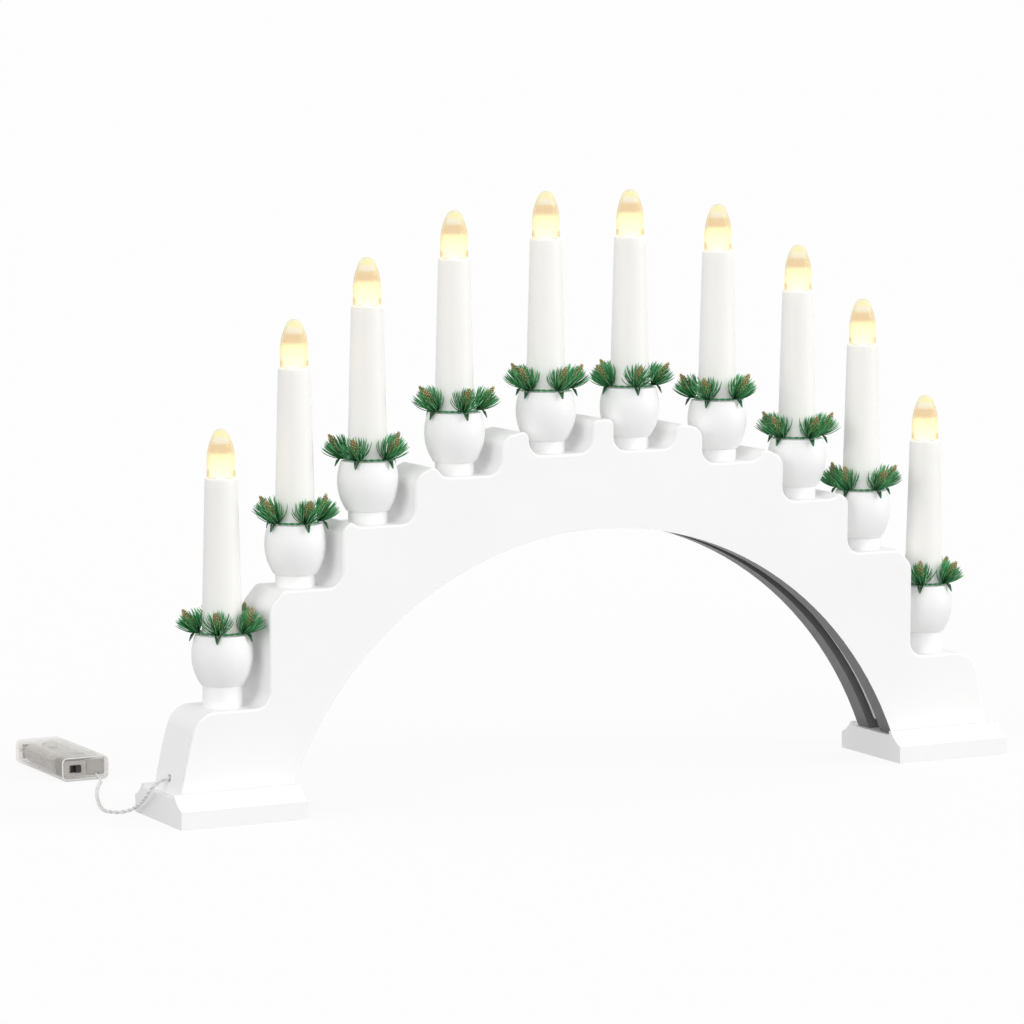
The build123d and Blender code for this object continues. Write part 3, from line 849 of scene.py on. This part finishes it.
def make_case_front(edge_highlight, board):
    """A white rim painted along the edge of the case's front wall as a highlight, and the small plate beside
    the switch behind it.
    """
    low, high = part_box("battery_case")
    switch_low, switch_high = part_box("switch_body")
    middle = Vector(((low.x + high.x) / 2, low.y + CASE_WALL / 2, (low.z + high.z) / 2))
    inset = CASE_WALL / 2
    half_x = (high.x - low.x) / 2 - inset
    half_z = (high.z - low.z) / 2 - inset
    loop = rounded_loop(middle, half_x, half_z, CASE_CORNER - inset)
    shell = bmesh.new()
    swept_tube(shell, loop, EDGE_HIGHLIGHT_RADIUS, EDGE_HIGHLIGHT_SIDES, looped=True)
    pieces = [new_piece("case_front_edge_highlight", mesh_of("edge_highlight", shell), [edge_highlight], "root")]
    left = switch_high.x + BAY_GAP
    right = high.x - CASE_WALL - BAY_GAP
    front = switch_low.y + BAY_GAP
    size = Vector((right - left, BAY_PLATE, switch_high.z - switch_low.z))
    centre = Vector(((left + right) / 2, front + BAY_PLATE / 2, (switch_low.z + switch_high.z) / 2))
    plate = bmesh.new()
    bmesh.ops.create_cube(plate, matrix=Matrix.Translation(centre) @ Matrix.Diagonal((*size, 1.0)))
    bmesh.ops.bevel(plate, geom=plate.edges[:], offset=BAY_PLATE / 6, segments=2, affect="EDGES")
    mesh = mesh_of("plate", plate)
    pieces.append(new_piece("case_bay_plate", mesh, [board], "root", smooth=False))
    return pieces


def lead_middle_line():
    """Points along the smooth line whose control points are the lead's route."""
    curve = bpy.data.curves.new("lead_line", "CURVE")
    curve.dimensions = "3D"
    curve.resolution_u = LEAD_STEPS
    spline = curve.splines.new("NURBS")
    spline.points.add(len(LEAD_ROUTE_MM) - 1)
    for point, place in zip(spline.points, LEAD_ROUTE_MM):
        point.co = (*(Vector(place) * MM), 1.0)
    spline.order_u = 3
    spline.use_endpoint_u = True
    holder = bpy.data.objects.new("lead_line", curve)
    bpy.context.scene.collection.objects.link(holder)
    bpy.context.view_layer.update()
    mesh = bpy.data.meshes.new_from_object(holder)
    points = [vertex.co.copy() for vertex in mesh.vertices]
    bpy.data.objects.remove(holder)
    bpy.data.curves.remove(curve)
    bpy.data.meshes.remove(mesh)
    return points


def make_lead(material, case_pieces):
    """Two insulated strands twisted round the lead's middle line."""
    line = lead_middle_line()
    reach = LEAD_DIAMETER / 4
    shell = bmesh.new()
    run = 0.0
    before = line[0]
    strands = ([], [])
    for point, (across, up) in zip(line, carried_frames(line)):
        run += (point - before).length
        before = point
        angle = 2 * math.pi * run / LEAD_PITCH
        offset = (across * math.cos(angle) + up * math.sin(angle)) * reach
        strands[0].append(point + offset)
        strands[1].append(point - offset)
    for strand in strands:
        swept_tube(shell, strand, reach, LEAD_SIDES)
    lead = new_piece("lead_strands", mesh_of("lead", shell), [material], "root")
    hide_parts("lead")


def seen_directly(tree):
    """One where a camera, mirror or see-through ray looks, and nought for scattered light."""
    path = tree.nodes.new("ShaderNodeLightPath")
    total = path.outputs["Is Camera Ray"]
    for kind in ("Is Glossy Ray", "Is Transmission Ray"):
        most = tree.nodes.new("ShaderNodeMath")
        most.operation = "MAXIMUM"
        tree.links.new(total, most.inputs[0])
        tree.links.new(path.outputs[kind], most.inputs[1])
        total = most.outputs[0]
    return total


def floor_light():
    """What the open floor gets from the sky and the suns."""
    total = SKY_LEVEL
    for sun in SUNS.values():
        total += sun["level"] * Vector(sun["heading"]).normalized().z
    return total


def floor_material():
    """Pale floor that shows almost white with a faint shadow, and scatters little light upwards."""
    graph = Graph("floor")
    grey = graph.add("ShaderNodeBsdfDiffuse")
    grey.inputs["Color"].default_value = (FLOOR_GREY, FLOOR_GREY, FLOOR_GREY, 1.0)
    shade = graph.add("ShaderNodeBsdfDiffuse")
    shade.inputs["Color"].default_value = (FLOOR_SHADE, FLOOR_SHADE, FLOOR_SHADE, 1.0)
    light = graph.add("ShaderNodeEmission")
    light.inputs["Strength"].default_value = BACKDROP_LEVEL - FLOOR_SHADE * floor_light()
    both = graph.add("ShaderNodeAddShader")
    graph.join(shade.outputs[0], both.inputs[0])
    graph.join(light.outputs[0], both.inputs[1])
    mix = graph.add("ShaderNodeMixShader")
    graph.join(seen_directly(graph.tree), mix.inputs["Fac"])
    graph.join(grey.outputs[0], mix.inputs[1])
    graph.join(both.outputs[0], mix.inputs[2])
    graph.join(mix.outputs[0], graph.output.inputs["Surface"])
    return graph.material


def make_floor():
    shell = bmesh.new()
    corners = ((-1, -1), (1, -1), (1, 1), (-1, 1))
    shell.faces.new([shell.verts.new((x * FLOOR_HALF, y * FLOOR_HALF, -FLOOR_DROP)) for x, y in corners])
    mesh = mesh_of("floor", shell)
    mesh.materials.append(floor_material())
    floor = bpy.data.objects.new("floor", mesh)
    bpy.context.scene.collection.objects.link(floor)


def make_world():
    world = bpy.data.worlds.new("studio")
    bpy.context.scene.world = world
    world.use_nodes = True
    tree = world.node_tree
    tree.nodes.clear()

    def background(level):
        node = tree.nodes.new("ShaderNodeBackground")
        node.inputs["Strength"].default_value = level
        node.inputs["Color"].default_value = (1.0, 1.0, 1.0, 1.0)
        return node

    mix = tree.nodes.new("ShaderNodeMixShader")
    tree.links.new(seen_directly(tree), mix.inputs["Fac"])
    tree.links.new(background(SKY_LEVEL).outputs[0], mix.inputs[1])
    tree.links.new(background(BACKDROP_LEVEL).outputs[0], mix.inputs[2])
    output = tree.nodes.new("ShaderNodeOutputWorld")
    tree.links.new(mix.outputs[0], output.inputs["Surface"])


def make_sun(name, heading, level, spread):
    lamp = bpy.data.lights.new(name, "SUN")
    lamp.energy = level * math.pi
    lamp.angle = math.radians(spread)
    holder = bpy.data.objects.new(name, lamp)
    holder.rotation_euler = Vector(heading).to_track_quat("Z", "Y").to_euler()
    bpy.context.scene.collection.objects.link(holder)


def make_camera():
    data = bpy.data.cameras.new("camera")
    data.lens = CAMERA_LENS_MM
    data.sensor_width = SENSOR_MM
    camera = bpy.data.objects.new("camera", data)
    camera.location = CAMERA_PLACE
    camera.rotation_euler = (CAMERA_TARGET - CAMERA_PLACE).to_track_quat("-Z", "Y").to_euler()
    bpy.context.scene.collection.objects.link(camera)
    bpy.context.scene.camera = camera


bpy.context.scene.view_settings.view_transform = "Standard"
make_camera()
make_world()
for name, sun in SUNS.items():
    make_sun(name, **sun)
make_floor()
make_lead(lead_plastic(), make_case_front(edge_highlight_white(), bay_board()))

board_paint = painted_wood("board_paint", (0.06, 1.0, 1.0), painted_shade_under=True)
plinth_paint = painted_wood("plinth_paint", (0.06, 1.0, 1.0))
cup_paint = painted_wood("cup_paint", (1.0, 1.0, 0.2))
dress("arch_board", board_paint)
dress("plinth_left", plinth_paint)
dress("plinth_right", plinth_paint)
sleeve = sleeve_plastic()
shell_clear = bulb_shell()
glow = bulb_glow()
greens = needle_green()
wire = ring_green()
browns = cone_brown()
for number in range(1, CANDLES + 1):
    dress(f"candle_cup_{number}", cup_paint)
    dress(f"candle_tube_{number}", sleeve)
    dress(f"flame_bulb_{number}", shell_clear)
    make_bulb_filling(number, glow)
    make_wreath(number, greens, wire, browns)
dress("leds", led_lens())
dress("wiring_harness", lead_plastic())
dress("plinth_screws", plated_steel("screw_steel", 0.6))
case_clear = clear_plastic()
dress("battery_case", case_clear)
dress("battery_cover", case_clear)
dress("battery_cells", cell_wrap())
dress("battery_plates", plated_steel("contact_steel", 0.7))
dress("battery_springs", plated_steel("spring_steel", 0.3))
dress("switch_body", switch_metal())
dress("switch_knob", switch_black())
